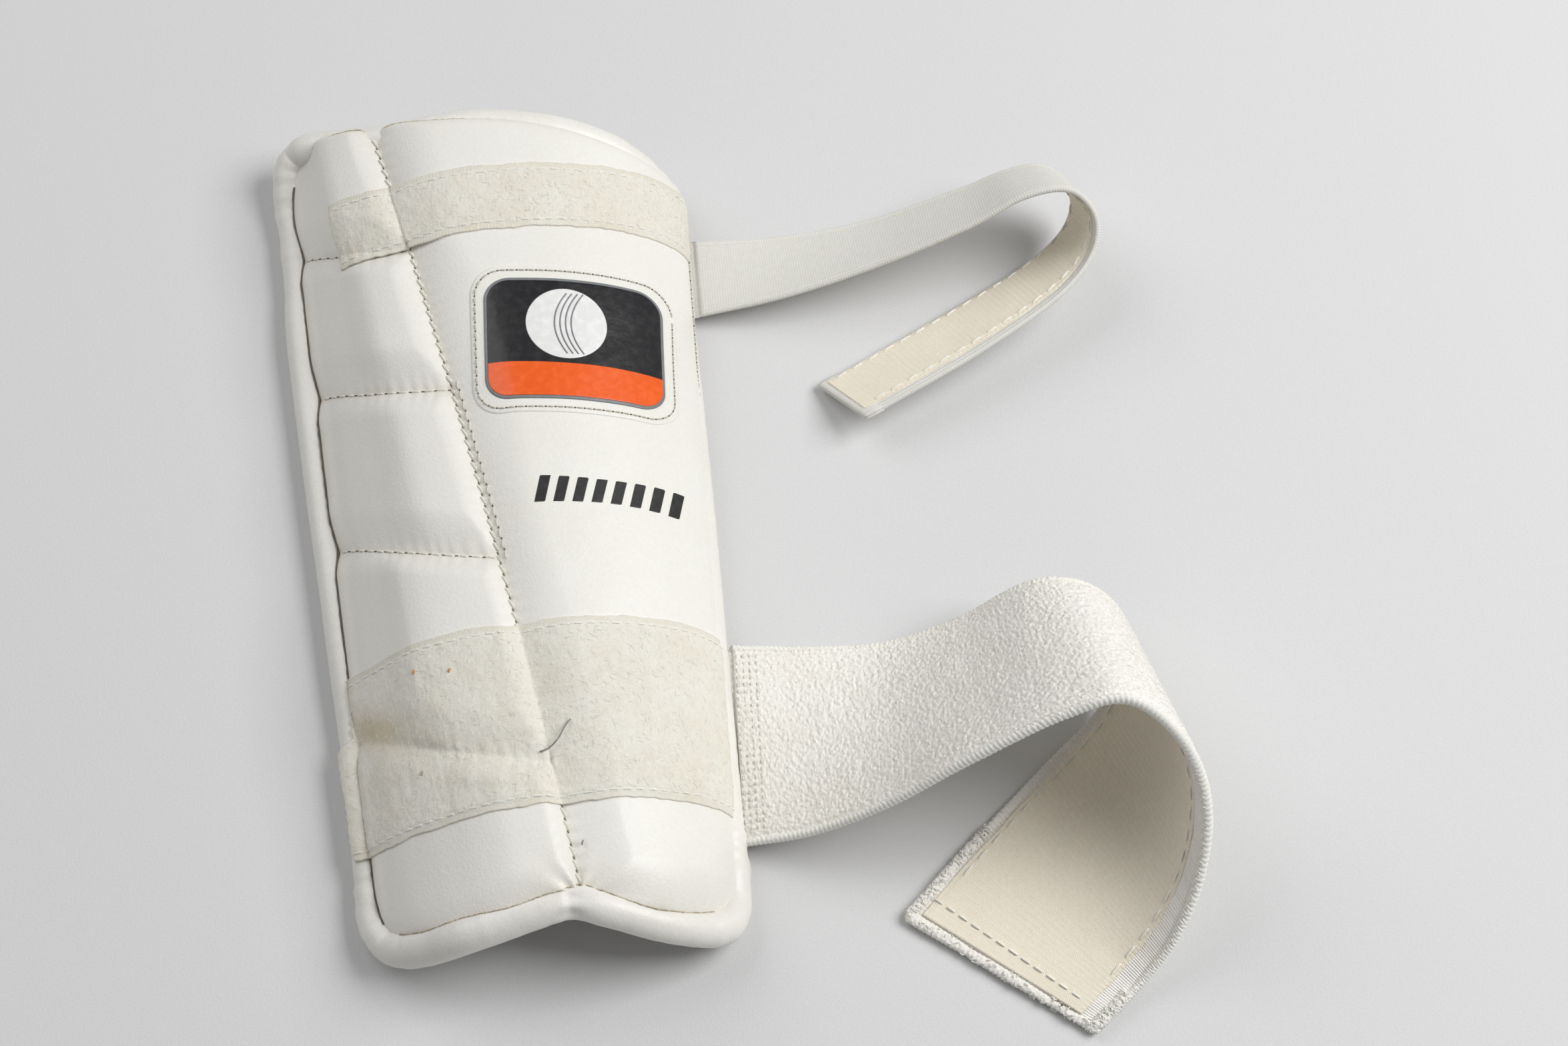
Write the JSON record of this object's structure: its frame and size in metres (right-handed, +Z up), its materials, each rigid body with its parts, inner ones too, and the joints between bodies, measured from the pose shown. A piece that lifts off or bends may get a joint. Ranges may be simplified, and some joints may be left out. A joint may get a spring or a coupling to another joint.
{
  "type": "cricket arm guard",
  "caption": "Arched padded forearm guard with a quilted side panel, piped edge, loop tapes and hook-ended elastic straps folded back.",
  "frame": {"origin": "middle of the open side that the forearm enters, in the plane the guard rests on", "axes": "+Z up out of the padded face, +Y towards the elbow end along the arm, +X towards the side where the elastic straps are sewn in"},
  "size_m": [0.2377, 0.2949, 0.062],
  "materials": {
    "foam": "closed-cell and crushed foam, hidden",
    "ivory_leather": "coated leathercloth, fine grain, satin",
    "white_piping": "coated leathercloth, smooth, satin",
    "moulded_shell": "moulded sheet, hidden",
    "towelling": "looped cotton lining",
    "badge_print": "welded badge, black",
    "hook_tape": "woven tape with small hooks",
    "loop_tape": "brushed loop pile",
    "narrow_elastic": "ribbed elastic web",
    "wide_elastic": "looped terry elastic web"
  },
  "bodies": {
    "guard": {"badge_insert": "badge_print", "badge_patch": "ivory_leather", "bottom_loop_tape": "loop_tape", "bottom_strap_anchor": "wide_elastic", "comfort_foam": "foam", "edge_roll_core": "foam", "edge_roll_cover": "white_piping", "impact_shell": "moulded_shell", "lining": "towelling", "main_cover": "ivory_leather", "main_foam": "foam", "side_cover": "ivory_leather", "side_foam_1": "foam", "side_foam_2": "foam", "side_foam_3": "foam", "side_foam_4": "foam", "side_foam_5": "foam", "top_loop_tape": "loop_tape", "top_strap_anchor": "narrow_elastic"},
    "top_strap": {"top_strap_web": "narrow_elastic"},
    "top_strap_end": {"top_strap_end_hem": "narrow_elastic", "top_strap_hook_tape": "hook_tape", "top_strap_tail": "narrow_elastic"},
    "bottom_strap": {"bottom_strap_web": "wide_elastic"},
    "bottom_strap_end": {"bottom_strap_end_hem": "wide_elastic", "bottom_strap_hook_tape": "hook_tape", "bottom_strap_tail": "wide_elastic"}
  },
  "joints": [
    {"name": "top_strap_swing", "type": "hinge", "parent": "guard", "child": "top_strap", "pos_m": [0.0596, 0.0755, 0.005], "axis": [-0.032, -0.9995, 0], "range_deg": [-90, 75], "stiffness_Nm_per_rad": 0.08},
    {"name": "top_strap_unfold", "type": "hinge", "parent": "top_strap", "child": "top_strap_end", "pos_m": [0.16953, 0.08089, 0.02476], "axis": [0.1266, -0.7391, 0.6616], "range_deg": [-8, 120], "stiffness_Nm_per_rad": 0.04},
    {"name": "bottom_strap_swing", "type": "hinge", "parent": "guard", "child": "bottom_strap", "pos_m": [0.0541, -0.07, 0.005], "axis": [-0.0654, -0.9979, 0], "range_deg": [-90, 70], "stiffness_Nm_per_rad": 0.25},
    {"name": "bottom_strap_unfold", "type": "hinge", "parent": "bottom_strap", "child": "bottom_strap_end", "pos_m": [0.15787, -0.07049, 0.04215], "axis": [0.0735, -0.8322, 0.5496], "range_deg": [-8, 120], "stiffness_Nm_per_rad": 0.12}
  ]
}
